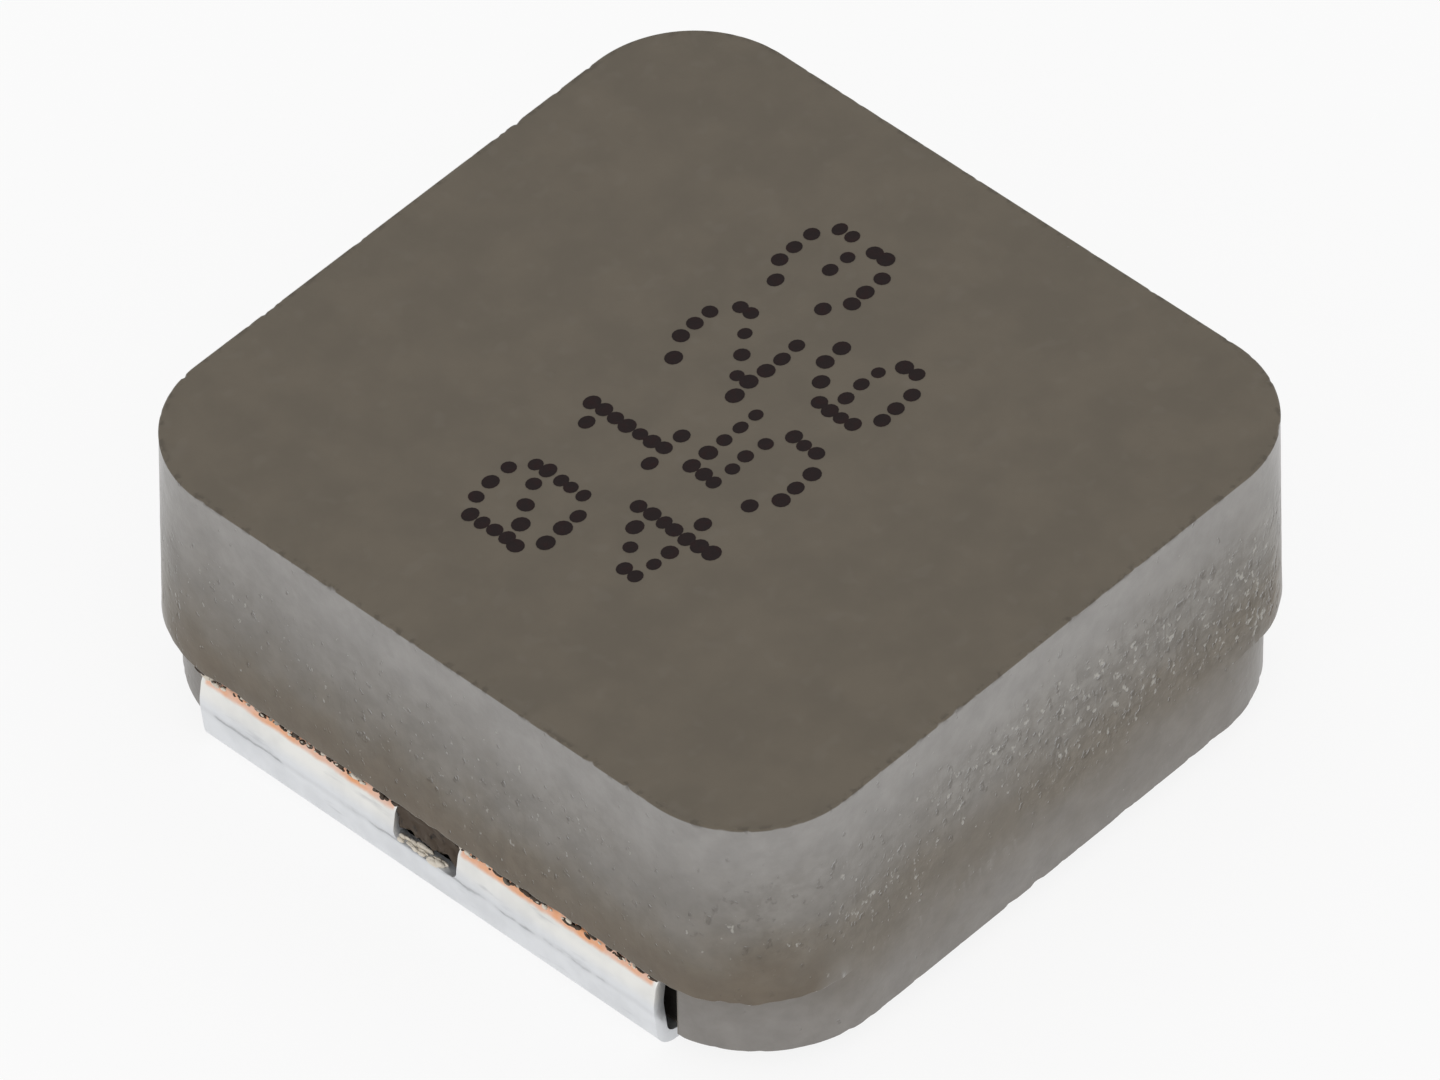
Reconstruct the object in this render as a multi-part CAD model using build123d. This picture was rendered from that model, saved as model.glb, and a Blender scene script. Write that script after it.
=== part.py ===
from build123d import *
import os
from math import radians, tan

# Moulded power inductor: a flat-wire coil pressed inside an iron-powder body, with a folded
# strip terminal at each end. Millimetres, +Z up, solder pads on z = 0, terminals at -X and +X.

# Upper half of the body
TOP_LENGTH = 16.44       # along X, measured at the top face
TOP_WIDTH = 17.0         # along Y, measured at the top face
TOP_RADIUS = 2.55        # upright corners, at the top face
TOP_EDGE = 0.06          # broken edge round the top face
TOP_COVER = 0.75         # powder above the uppermost turn of the coil
SIDE_DRAFT = 1.1         # degrees, the sides widen downwards to the shoulder
SHOULDER_HEIGHT = 2.25   # lower rim of this half and widest line of the body, above the pads

# Lower half of the body
TERMINAL_STEP = 0.3      # the terminal sides step in this far under the shoulder, the plain sides don't
LOWER_RADIUS = 3.0       # upright corners
UNDERSIDE_EDGE = 0.22    # broken edge round the underside
UNDERSIDE_CLEARANCE = 0.04  # between a pad and the underside above it

# Terminals
STRIP_THICKNESS = 0.28
STRIP_WIDTH = 12.0       # along Y
STRIP_SHIFT = 0.13       # each strip lies this far off the middle of its pocket
STRIP_TOP = 2.05         # upper face of the root where it leaves the body, above the pads
STRIP_SETBACK = 0.04     # widest point of the strip behind the shoulder
FOLD_LEAN = 0.09         # the fold at the root lies this far behind the widest point
FOLD_RADIUS = 0.2        # centre line of the fold at the root
BULGE_HEIGHT = 1.3       # height of the widest point above the pads
BULGE_RADIUS = 0.9       # centre line of the bulge
CURL_LEAN = 0.14         # the curl starts this far behind the widest point
CURL_RADIUS = 0.42       # centre line of the curl under the body
PAD_LENGTH = 3.0         # from the widest point of the strip to the pad's end
NOTCH_WIDTH = 1.66       # slot across the fold, along Y
NOTCH_DEPTH = 0.9        # below the root's upper face
NOTCH_RADIUS = 0.2
POCKET_GAP = 0.43        # air behind the upright part of the strip
POCKET_SIDE = 0.14       # air beside each edge of a strip that would lie in the middle
TAB_DEPTH = 1.3          # length of the root that is buried in the body

# Coil of flat wire, wound on edge
COIL_TURNS = 3
COIL_PITCH = 1.1
WIRE_WIDTH = 2.2         # across the turn
WIRE_THICKNESS = 0.9     # along the coil's axis
TAIL_RADIUS = 0.6        # centre line of the bends in the finish tail
TAIL_INSET = 0.3         # a tail lies this far in from the edge of its tab
TAIL_END_COVER = 0.4     # powder between a tail's end and the pocket

# Places that follow from the sizes above
underside = STRIP_THICKNESS + UNDERSIDE_CLEARANCE
wire_radius = (STRIP_WIDTH - WIRE_WIDTH) / 2 - TAIL_INSET
start_height = STRIP_TOP + WIRE_THICKNESS / 2
finish_height = start_height + COIL_TURNS * COIL_PITCH
body_top = finish_height + WIRE_THICKNESS / 2 + TOP_COVER
flare = (body_top - SHOULDER_HEIGHT) * tan(radians(SIDE_DRAFT))
strip_outer = TOP_LENGTH / 2 + flare - STRIP_SETBACK
pocket_wall = strip_outer - STRIP_THICKNESS - POCKET_GAP
tail_end = pocket_wall - TAIL_END_COVER


def outline(height, grow_x=0.0, grow_y=0.0, radius=TOP_RADIUS):
    """Rounded rectangle at a height, larger than the top face by the two amounts on each side."""
    length = TOP_LENGTH + 2 * grow_x
    width = TOP_WIDTH + 2 * grow_y
    return Plane.XY.offset(height) * RectangleRounded(length, width, radius)


def turned(part):
    """The same piece at the opposite end of the body."""
    return Rot(0, 0, 180) * part


def sweep_flat(path, width, thickness):
    """Flat bar along a path in an XZ plane, with its width along Y."""
    section = Plane(path @ 0, x_dir=(0, 1, 0), z_dir=path % 0) * Rectangle(width, thickness)
    return sweep(section, path)


def make_terminal():
    """Strip at the +X end: buried tab, fold with its slot, bulged upright, curl and solder pad."""
    half = STRIP_THICKNESS / 2
    middle = strip_outer - half
    root_height = STRIP_TOP - half
    path = Plane.XZ * FilletPolyline(
        (pocket_wall - TAB_DEPTH, root_height),
        (middle - FOLD_LEAN, root_height),
        (middle, BULGE_HEIGHT),
        (middle - CURL_LEAN, half),
        (strip_outer - PAD_LENGTH, half),
        radius=[FOLD_RADIUS, BULGE_RADIUS, CURL_RADIUS],
    )
    strip = sweep_flat(path, STRIP_WIDTH, STRIP_THICKNESS)
    # The slot opens upwards, so the cutter runs as far above the root as it reaches below.
    slot_plane = Plane.YZ.offset(pocket_wall + POCKET_GAP / 2)
    slot = RectangleRounded(NOTCH_WIDTH, 2 * NOTCH_DEPTH, NOTCH_RADIUS)
    strip -= extrude(slot_plane * Pos(0, STRIP_TOP) * slot, POCKET_GAP + STRIP_THICKNESS)
    return Pos(0, -STRIP_SHIFT, 0) * strip


def make_tail(*corners):
    """Flat wire that leaves the coil along X and is bent the easy way where it turns."""
    corners_in_space = [(x, -wire_radius, z) for x, z in corners]
    if len(corners) > 2:
        path = FilletPolyline(*corners_in_space, radius=TAIL_RADIUS)
    else:
        path = Line(*corners_in_space)
    return sweep_flat(path, WIRE_WIDTH, WIRE_THICKNESS)


def make_coil():
    """Edge-wound coil whose start lies on one tab and whose finish comes down to the other."""
    helix = Helix(COIL_PITCH, COIL_TURNS * COIL_PITCH, wire_radius)
    wire_end = Plane((wire_radius, 0, 0), x_dir=(1, 0, 0), z_dir=(0, 1, 0))
    turns = sweep(wire_end * Rectangle(WIRE_WIDTH, WIRE_THICKNESS), helix, is_frenet=True)
    turns = Pos(0, 0, start_height) * Rot(0, 0, -90) * turns
    start_tail = make_tail((0, start_height), (-tail_end, start_height))
    riser = tail_end - 2 * TAIL_RADIUS
    finish_tail = make_tail(
        (0, finish_height), (riser, finish_height), (riser, start_height), (tail_end, start_height)
    )
    return turns + start_tail + finish_tail


def make_pocket():
    """Room at the +X end for the upright part of the strip, open downwards and outwards."""
    depth = POCKET_GAP + STRIP_THICKNESS + STRIP_SETBACK
    width = STRIP_WIDTH + 2 * POCKET_SIDE
    return Pos(pocket_wall + depth / 2, 0, STRIP_TOP / 2) * Box(depth, width, STRIP_TOP)


def make_body(coil, terminals):
    """Pressed body: drafted upper half and, under its shoulder, the smaller lower half."""
    shoulder = outline(SHOULDER_HEIGHT, flare, flare, TOP_RADIUS + flare)
    lower = outline(underside, flare - TERMINAL_STEP, flare, LOWER_RADIUS)
    upper_half = loft([shoulder, outline(body_top)])
    upper_half = chamfer(upper_half.faces().sort_by(Axis.Z)[-1].edges(), TOP_EDGE)
    lower_half = extrude(lower, SHOULDER_HEIGHT - underside)
    lower_half = chamfer(lower_half.faces().sort_by(Axis.Z)[0].edges(), UNDERSIDE_EDGE)
    body = upper_half + lower_half
    body -= [make_pocket(), turned(make_pocket())]
    body -= terminals
    return body - coil


os.makedirs("parts", exist_ok=True)
finish_terminal = make_terminal()
start_terminal = turned(finish_terminal)
coil_winding = make_coil()
moulded_body = make_body(coil_winding, [start_terminal, finish_terminal])

pieces = {
    "moulded_body": moulded_body,
    "coil_winding": coil_winding,
    "start_terminal": start_terminal,
    "finish_terminal": finish_terminal,
}
for name, piece in pieces.items():
    export_step(piece, f"parts/{name}.step")
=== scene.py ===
from math import copysign, cos, pi, radians, sin, tan
from random import Random
from typing import NamedTuple

import bmesh
import bpy
from bpy.props import FloatProperty, FloatVectorProperty, IntProperty, PointerProperty, StringProperty
from mathutils import Matrix, Vector, noise


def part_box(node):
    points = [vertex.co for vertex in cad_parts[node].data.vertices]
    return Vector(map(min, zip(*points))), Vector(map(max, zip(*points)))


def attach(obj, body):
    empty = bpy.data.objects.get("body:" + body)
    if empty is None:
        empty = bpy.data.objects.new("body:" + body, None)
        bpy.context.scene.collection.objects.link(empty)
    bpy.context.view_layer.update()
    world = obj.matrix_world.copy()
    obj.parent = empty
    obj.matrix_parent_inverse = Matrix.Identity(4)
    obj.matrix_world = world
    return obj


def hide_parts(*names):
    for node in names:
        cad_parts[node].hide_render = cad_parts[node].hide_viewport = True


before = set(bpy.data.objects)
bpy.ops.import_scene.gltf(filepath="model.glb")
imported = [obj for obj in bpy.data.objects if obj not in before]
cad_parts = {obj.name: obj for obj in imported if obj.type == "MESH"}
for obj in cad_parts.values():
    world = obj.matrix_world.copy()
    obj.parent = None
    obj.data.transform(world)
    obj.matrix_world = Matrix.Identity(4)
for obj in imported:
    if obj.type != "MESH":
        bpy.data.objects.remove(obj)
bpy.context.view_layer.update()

bl_info = {
    "name": "Moulded Power Inductor",
    "version": (1, 0, 0),
    "blender": (4, 5, 0),
    "location": "View3D > Sidebar > Inductor",
    "description": "Dresses a moulded power inductor: body, strips, crumbs, ink dots, coil and stage",
    "category": "Object",
}

MM = 0.001
BODY_LOW, BODY_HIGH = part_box("moulded_body")
STRIP_LOW, STRIP_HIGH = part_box("finish_terminal")
STRIP_MIDDLE = (STRIP_LOW.y + STRIP_HIGH.y) / 2
HALF_STRIP = (STRIP_HIGH.y - STRIP_LOW.y) / 2


def paint(red, green, blue):
    """Linear colour with full alpha from the 0 to 255 values of a screen colour."""
    shares = (value / 255 for value in (red, green, blue))
    return *(s / 12.92 if s <= 0.04045 else ((s + 0.055) / 1.055) ** 2.4 for s in shares), 1.0


def length(name, description, size):
    """Length property whose default is given in millimetres."""
    return FloatProperty(name=name, description=description, default=size * MM, min=0.0,
                         precision=5, subtype="DISTANCE", unit="LENGTH")


def colour(name, description, red, green, blue):
    """Colour property whose default is given as a screen colour."""
    return FloatVectorProperty(name=name, description=description, default=paint(red, green, blue),
                               size=4, min=0.0, max=1.0, subtype="COLOR")


def angle(name, description, degrees):
    """Angle property whose default is given in degrees."""
    return FloatProperty(name=name, description=description, default=radians(degrees),
                         subtype="ANGLE", unit="ROTATION")


class BodySettings(bpy.types.PropertyGroup):
    """Sizes and colours of the pressed body."""
    draft: angle("Draft", "Slope of the sides above the shoulder", 1.1)
    top_radius: length("Top radius", "Upright corners at the top face", 2.55)
    shoulder_height: length("Shoulder height", "Widest line of the body above the pads", 2.25)
    shoulder_edge: length("Shoulder edge", "Rounding of the shoulder's rim", 0.05)
    terminal_step: length("Terminal step", "The terminal sides step in this far under the shoulder", 0.3)
    seam: length("Seam", "The lower half stands back this far on the plain sides", 0.004)
    lower_radius: length("Lower radius", "Upright corners below the shoulder", 3.0)
    underside_edge: length("Underside edge", "Broken edge round the underside", 0.22)
    top_edge: length("Top edge", "Broken edge round the top face", 0.03)
    chip_depth: length("Chip depth", "Deepest chips along the edge of the top face", 0.05)
    rim_wave: length("Rim wave", "Unevenness of the overhanging rim", 0.09)
    foot_wear: length("Foot wear", "Deepest wear along the edge of the underside", 0.045)
    print_depth: length("Print depth", "The ink stands this far above the top face", 0.006)
    pocket_gap: length("Pocket gap", "Air behind the upright part of a strip", 0.43)
    pocket_side: length("Pocket side", "Air beside each edge of a strip in the middle of its pocket", 0.14)
    pocket_edge: length("Pocket edge", "Rounding of the pocket's upright edges", 0.1)
    face_colour: colour("Face colour", "Matt top and underside", 102, 94, 82)
    # Painted reflection of the bright floor on the band below the top edge, which is also a little
    # smoother.
    burnish_and_reflection_colour: colour("Burnish colour", "Smooth band below the top edge", 148, 145, 142)
    wall_colour: colour("Wall colour", "Middle of the sides", 129, 125, 120)
    # A darker brown band low on the sides, above the shoulder; the faces take their paler flecks from the
    # same colour.
    band_and_fleck_colour: colour("Stain colour", "Brown band low on the sides", 114, 107, 97)
    # Painted shade: the brown fringe along the overhanging shoulder is shade painted on the wall just above
    # it.
    rim_shade_colour: colour("Rim colour", "Brown fringe along the overhanging shoulder", 106, 96, 83)
    # Painted bounce light: the sides near the board are painted paler, as the white floor would light them.
    foot_bounce_light_colour: colour("Foot colour", "Sides near the board", 138, 134, 130)
    pit_colour: colour("Pit colour", "Pits and drag marks", 74, 67, 58)
    # Painted shade: the pocket walls are painted nearly black, as deep recesses look.
    pocket_shade_colour: colour("Pocket colour", "Loose powder on the pocket walls", 34, 29, 24)
    speck_colour: colour("Speck colour", "Bright metal grains", 190, 187, 179)


class StripSettings(bpy.types.PropertyGroup):
    """Sizes and colours of the tinned strips."""
    thickness: length("Thickness", "Thickness of the strip", 0.28)
    pad_length: length("Pad length", "From the widest point of the strip to the pad's end", 3.0)
    tab_depth: length("Tab depth", "Length of the root that is buried in the body", 1.3)
    fold_lean: length("Fold lean", "The fold lies this far behind the widest point", 0.09)
    fold_radius: length("Fold radius", "Centre line of the fold at the root", 0.2)
    bulge_height: length("Bulge height", "Height of the widest point", 1.3)
    bulge_radius: length("Bulge radius", "Centre line of the bulge", 0.9)
    curl_lean: length("Curl lean", "The curl starts this far behind the widest point", 0.14)
    curl_radius: length("Curl radius", "Centre line of the curl under the body", 0.42)
    notch_width: length("Notch width", "Slot across the fold", 1.66)
    notch_depth: length("Notch depth", "Slot below the root's upper face", 0.9)
    notch_radius: length("Notch radius", "Lower corners of the slot", 0.2)
    rim_radius: length("Rim radius", "Rounded tin along the strip's edges", 0.1)
    tin_colour: colour("Tin colour", "Satin tin plate", 226, 228, 231)
    # Painted highlight: the upward-facing tin between the crease and the fold is painted brighter.
    crest_highlight_colour: colour("Crest colour", "Brighter tin between the crease and the fold", 239, 238, 234)
    smear_colour: colour("Smear colour", "Grey rubs on the tin", 176, 178, 181)
    crease_drop: length("Crease drop", "The scratched crease lies this far below the widest point", 0.17)
    # Scratches along the crease, and also the colour of the soft painted shade in the crease.
    scratch_and_shade_colour: colour("Scratch colour", "Scratches along the crease", 140, 142, 145)
    copper_colour: colour("Copper colour", "Bare copper along the fold", 233, 167, 121)


class CrumbSettings(bpy.types.PropertyGroup):
    """Powder crumbs along the strips and in their notches."""
    fold_count: IntProperty(name="Fold crumbs", description="Crumbs along each fold", default=230, min=0)
    notch_count: IntProperty(name="Notch bits", description="Bits of tin in each notch", default=30, min=0)
    smallest: length("Smallest", "Radius of the finest crumbs", 0.03)
    largest: length("Largest", "Radius of the coarsest crumbs", 0.085)
    dark_colour: colour("Dark colour", "Powder in the shade of the strip", 70, 58, 46)
    pale_colour: colour("Pale colour", "Crumbs with a metal glint", 228, 219, 204)


class PrintSettings(bpy.types.PropertyGroup):
    """Ink dots on the top face."""
    first_row: StringProperty(name="First row", description="Digits of the first row", default="0123")
    second_row: StringProperty(name="Second row", description="Digits of the second row", default="456")
    dot: length("Dot", "Diameter of an ink dot", 0.35)
    rise: length("Rise", "Pitch of the dots up a digit", 0.31)
    run: length("Run", "Pitch of the dots along the row", 0.46)
    digit_pitch: length("Digit pitch", "From one digit to the next", 2.86)
    row_pitch: length("Row pitch", "From one row to the next", 2.55)
    ink_colour: colour("Ink colour", "Dried ink", 24, 12, 12)


class StageSettings(bpy.types.PropertyGroup):
    """Camera, floor and light."""
    azimuth: angle("Azimuth", "Camera turned about the upright axis", -46.624)
    elevation: angle("Elevation", "Camera above the floor", 46.022)
    roll: angle("Roll", "Camera turned about its own axis", -0.8)
    distance: length("Distance", "From the camera to the point it looks at", 338.767)
    aim_right: FloatProperty(name="Aim right", description="Aim point beside the part's origin",
                             default=-0.0219 * MM, precision=6, unit="LENGTH")
    aim_up: length("Aim up", "Aim point above the part's origin", 2.5797)
    lens: FloatProperty(name="Lens", description="Focal length for a 36 mm sensor", default=435.03,
                        unit="CAMERA")
    floor_size: length("Floor size", "Side of the floor", 1600)
    ambient: FloatProperty(name="Ambient", description="Strength of the light from all round", default=0.75)
    shadow: FloatProperty(name="Shadow", description="Share of its own shading that the floor shows",
                          default=0.14, min=0.0, max=1.0, subtype="FACTOR")


class InductorSettings(bpy.types.PropertyGroup):
    """All settings of the part."""
    body: PointerProperty(type=BodySettings)
    strips: PointerProperty(type=StripSettings)
    crumbs: PointerProperty(type=CrumbSettings)
    ink: PointerProperty(type=PrintSettings)
    stage: PointerProperty(type=StageSettings)


# Shader nodes

def fill(tree, node, sockets):
    """Fills a node's inputs with plain values or with the outputs of other nodes."""
    for key, value in sockets.items():
        if isinstance(value, bpy.types.NodeSocket):
            tree.links.new(value, node.inputs[key])
        else:
            node.inputs[key].default_value = value


def put(tree, kind, sockets=None, **settings):
    """Adds a node with its settings and inputs."""
    node = tree.nodes.new(kind)
    for name, value in settings.items():
        setattr(node, name, value)
    fill(tree, node, sockets or {})
    return node


def calc(tree, operation, first, second=0.0):
    """Result of one Math node."""
    return put(tree, "ShaderNodeMath", {0: first, 1: second}, operation=operation).outputs[0]


def plus(tree, first, second):
    """Sum of two values."""
    return calc(tree, "ADD", first, second)


def minus(tree, first, second):
    """Difference of two values."""
    return calc(tree, "SUBTRACT", first, second)


def times(tree, first, second):
    """Product of two values."""
    return calc(tree, "MULTIPLY", first, second)


def ease(tree, value, low, high, start=0.0, end=1.0):
    """Smooth step of a value from one level to another."""
    sockets = {"Value": value, "From Min": low, "From Max": high, "To Min": start, "To Max": end}
    return put(tree, "ShaderNodeMapRange", sockets, interpolation_type="SMOOTHSTEP").outputs[0]


def blend(tree, share, under, over, mode="MIX"):
    """Colour mix by a mask."""
    sockets = {0: share, 6: under, 7: over}
    return put(tree, "ShaderNodeMix", sockets, data_type="RGBA", blend_type=mode).outputs[2]


def mottled(tree, share, tone, mask, dark, light):
    """Colour that a mask darkens and lightens."""
    tones = blend(tree, mask, (*dark, 1.0), (*light, 1.0))
    return blend(tree, share, tone, tones, "MULTIPLY")


def grain(tree, place, scale, detail=3.0, roughness=0.55, seed=0.0):
    """Noise, whose seed shifts the pattern."""
    shift = (seed, seed * 1.7, -seed)
    moved = put(tree, "ShaderNodeVectorMath", {0: place, 1: shift}, operation="ADD").outputs[0]
    sockets = {"Vector": moved, "Scale": scale, "Detail": detail, "Roughness": roughness}
    return put(tree, "ShaderNodeTexNoise", sockets).outputs[0]


def millimetres(tree):
    """Object coordinates in millimetres."""
    place = put(tree, "ShaderNodeTexCoord").outputs["Object"]
    return put(tree, "ShaderNodeVectorMath", {0: place, "Scale": 1 / MM}, operation="SCALE").outputs[0]


def stretch(tree, place, shares):
    """Place with each axis scaled by its own share."""
    return put(tree, "ShaderNodeVectorMath", {0: place, 1: shares}, operation="MULTIPLY").outputs[0]


def axes(tree, place):
    """X, Y and Z of a place."""
    return put(tree, "ShaderNodeSeparateXYZ", {0: place}).outputs


def painted(tree, name):
    """Value of one of the mesh's own vertex attributes."""
    return put(tree, "ShaderNodeAttribute", attribute_name=name).outputs["Fac"]


POWDER_SOCKETS = (
    ("Vector", "INPUT", "NodeSocketVector"),
    ("Density", "INPUT", "NodeSocketFloat"),
    ("Pits", "OUTPUT", "NodeSocketFloat"),
    ("Specks", "OUTPUT", "NodeSocketFloat"),
    ("Height", "OUTPUT", "NodeSocketFloat"),
)


def powder_group():
    """Pressed powder: pits, bright grains and a fine height, shared by the body and its crumbs."""
    name = "Pressed powder"
    if name in bpy.data.node_groups:
        return bpy.data.node_groups[name]
    tree = bpy.data.node_groups.new(name, "ShaderNodeTree")
    for socket, way, kind in POWDER_SOCKETS:
        tree.interface.new_socket(socket, in_out=way, socket_type=kind)
    given = tree.nodes.new("NodeGroupInput").outputs
    place = given["Vector"]
    drawn = stretch(tree, place, (1.0, 1.0, 0.7))

    def spots(scale, seed, limit, spread):
        """Places where noise passes a limit, which falls as the density grows."""
        noisy = grain(tree, drawn, scale, detail=2.0, roughness=0.5, seed=seed)
        level = minus(tree, limit, times(tree, given["Density"], 0.2))
        return ease(tree, minus(tree, noisy, level), 0.0, spread)

    pits = spots(scale=5.6, seed=2.0, limit=0.72, spread=0.18)
    specks = spots(scale=6.6, seed=13.0, limit=0.785, spread=0.1)
    fine = grain(tree, place, 5.5, roughness=0.6, seed=23.0)
    height = plus(tree, times(tree, fine, 0.4), times(tree, specks, 0.6))
    height = minus(tree, height, pits)
    fill(tree, tree.nodes.new("NodeGroupOutput"), {"Pits": pits, "Specks": specks, "Height": height})
    return tree


def pressed_powder(tree, place, density):
    """Outputs of the shared powder group at a place and density."""
    sockets = {"Vector": place, "Density": density}
    return put(tree, "ShaderNodeGroup", sockets, node_tree=powder_group()).outputs


def new_material(name):
    """New material, its node tree and its principled shader."""
    material = bpy.data.materials.new(name)
    material.use_nodes = True
    tree = material.node_tree
    return material, tree, tree.nodes["Principled BSDF"]


POWDER_RELIEF = 0.026 * MM
TIN_RELIEF = 0.02 * MM
CRUMB_RELIEF = 0.015 * MM
INK_RELIEF = 0.004 * MM


def bump(tree, height, depth):
    """Normal of a relief of a given depth."""
    sockets = {"Height": height, "Distance": depth, "Strength": 1.0}
    return put(tree, "ShaderNodeBump", sockets).outputs[0]


def side_colour(tree, body, place):
    """Tone of the sides by height: a painted reflection at the top, a darker brown band, painted shade
    round the shoulder and painted bounce light below it.
    """
    top, shoulder, plain_side = BODY_HIGH.z / MM, body.shoulder_height / MM, BODY_HIGH.y / MM
    parts = axes(tree, place)
    height, away = parts["Z"], calc(tree, "ABSOLUTE", parts["Y"])
    broad, close = grain(tree, place, 0.35, seed=3.0), grain(tree, place, 1.3, seed=71.0)
    patchy = minus(tree, plus(tree, broad, times(tree, close, 0.8)), 0.9)
    wander = 1.6  # millimetres up and down
    wavy = plus(tree, height, times(tree, patchy, wander))
    ramp = put(tree, "ShaderNodeValToRGB", {0: calc(tree, "DIVIDE", wavy, top)})
    # The ramp paints light by height: painted bounce light at the foot, a darker brown band above the
    # shoulder, the plain wall tone, and a painted reflection at the top.
    stops = ramp.color_ramp.elements
    stops[0].position, stops[0].color = 0.1, body.foot_bounce_light_colour
    stops[1].position, stops[1].color = 0.93, body.burnish_and_reflection_colour
    for share, tone in ((0.4, body.band_and_fleck_colour), (0.47, body.band_and_fleck_colour), (0.66, body.wall_colour)):
        stops.new(share).color = tone
    # The plain sides run smoothly across the shoulder; elsewhere it overhangs, parts the tones, and painted
    # shade darkens the wall just above it.
    lower = painted(tree, "lower")
    stepped = ease(tree, away, plain_side - 0.04, plain_side - 0.17)
    stepped = times(tree, stepped, minus(tree, 1.0, lower))
    fringe = times(tree, stepped, ease(tree, wavy, shoulder + 1.5, shoulder + 0.1))
    side = blend(tree, fringe, ramp.outputs[0], body.rim_shade_colour)
    # Below an overhanging shoulder the wall fades from painted bounce light low down into painted shade
    # under the shoulder.
    below = times(tree, ease(tree, away, plain_side - 0.02, plain_side - 0.6), lower)
    shaded = ease(tree, height, shoulder - 1.1, shoulder - 0.1)
    foot = blend(tree, shaded, body.foot_bounce_light_colour, body.wall_colour)
    side = blend(tree, below, side, foot)
    mottle = ease(tree, grain(tree, place, 1.6, detail=5.0, seed=11.0), 0.3, 0.7)
    return mottled(tree, 0.35, side, mottle, (0.82, 0.82, 0.82), (1.18, 1.18, 1.18))


def face_colour(tree, body, place):
    """Tone of the top and underside: clouded, with soft paler flecks."""
    cloud = ease(tree, grain(tree, place, 0.9, detail=4.0, seed=41.0), 0.3, 0.72)
    face = mottled(tree, 0.35, body.face_colour, cloud, (0.8, 0.8, 0.78), (1.16, 1.15, 1.12))
    flecks = ease(tree, grain(tree, place, 2.2, detail=1.0, seed=51.0), 0.58, 0.76)
    return blend(tree, times(tree, flecks, 0.2), face, body.band_and_fleck_colour)


def wear_masks(tree, place):
    """Band where the sides are grainy, its worst patches on the plain sides, and the drag marks there."""
    parts = axes(tree, place)
    height, away = parts["Z"], calc(tree, "ABSOLUTE", parts["Y"])
    fade_in, fade_out = (1.9, 3.0), (6.2, 5.0)  # heights in millimetres
    band = times(tree, ease(tree, height, *fade_in), ease(tree, height, *fade_out))
    patches = ease(tree, grain(tree, place, 0.28, detail=2.0, seed=21.0), 0.34, 0.62)
    plain_side = BODY_HIGH.y / MM
    plain = ease(tree, away, plain_side - 1.6, plain_side - 0.3, 0.4, 1.0)
    worn = times(tree, band, times(tree, patches, plain))
    streaks = grain(tree, stretch(tree, place, (4.0, 4.0, 1.1)), 1.0, detail=2.0, seed=31.0)
    drag = ease(tree, streaks, 0.58, 0.72)
    return band, worn, times(tree, drag, worn)


def pocket_shade_mask(tree, body, place):
    """Painted shade on the walls of the pockets, where little light reaches."""
    parts = axes(tree, place)
    mouth = (BODY_HIGH.x - body.terminal_step) / MM
    end = (HALF_STRIP + body.pocket_side) / MM
    behind = ease(tree, calc(tree, "ABSOLUTE", parts["X"]), mouth - 0.06, mouth - 0.2)
    within = ease(tree, calc(tree, "ABSOLUTE", parts["Y"]), end + 0.06, end)
    low = calc(tree, "LESS_THAN", parts["Z"], body.shoulder_height / MM)
    return times(tree, times(tree, behind, within), low)


def powder_material(body):
    """Iron powder pressed with a binder: matt brown faces and burnished, pitted sides."""
    material, tree, shader = new_material("pressed_powder")
    place = millimetres(tree)
    height = axes(tree, place)["Z"]
    band, worn, drag = wear_masks(tree, place)
    density = plus(tree, times(tree, band, 0.25), times(tree, worn, 0.4))
    powder = pressed_powder(tree, place, plus(tree, density, 0.2))

    side = side_colour(tree, body, place)
    gritty = ease(tree, grain(tree, place, 3.4, seed=81.0), 0.34, 0.66)
    grit = plus(tree, times(tree, worn, 0.7), 0.2)
    side = mottled(tree, grit, side, gritty, (0.86, 0.85, 0.83), (1.12, 1.12, 1.11))
    marks = calc(tree, "MAXIMUM", powder["Pits"], times(tree, drag, 0.35))
    side = blend(tree, times(tree, marks, 0.36), side, body.pit_colour)
    side = blend(tree, times(tree, powder["Specks"], 0.6), side, body.speck_colour)
    # Painted shade in the pockets behind the strips.
    side = blend(tree, pocket_shade_mask(tree, body, place), side, body.pocket_shade_colour)

    top, under = (BODY_HIGH.z - body.print_depth) / MM, BODY_LOW.z / MM
    on_face = calc(tree, "MAXIMUM", ease(tree, height, top - 0.05, top - 0.02),
                   ease(tree, height, under + 0.06, under + 0.01))
    tone = blend(tree, on_face, side, face_colour(tree, body, place))
    nibbled = ease(tree, grain(tree, place, 4.0, detail=2.0, seed=61.0), 0.5, 0.62)
    nibbled = times(tree, nibbled, ease(tree, painted(tree, "rim"), 0.45, 0.95))
    tone = blend(tree, times(tree, nibbled, 0.55), tone, body.pit_colour)

    gloss = times(tree, ease(tree, height, 4.6, 6.4), 0.16)
    matt = calc(tree, "MAXIMUM", minus(tree, 0.66, gloss), times(tree, on_face, 0.74))
    calm = minus(tree, 1.0, times(tree, on_face, 0.75))
    relief = minus(tree, powder["Height"], times(tree, drag, 0.5))
    relief = plus(tree, relief, times(tree, gritty, times(tree, worn, 0.5)))
    normal = bump(tree, times(tree, relief, calm), POWDER_RELIEF)
    fill(tree, shader, {"Base Color": tone, "Roughness": matt, "Normal": normal, "Specular IOR Level": 0.4,
                        "Sheen Weight": 0.75, "Sheen Roughness": 0.27})
    return material


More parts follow.
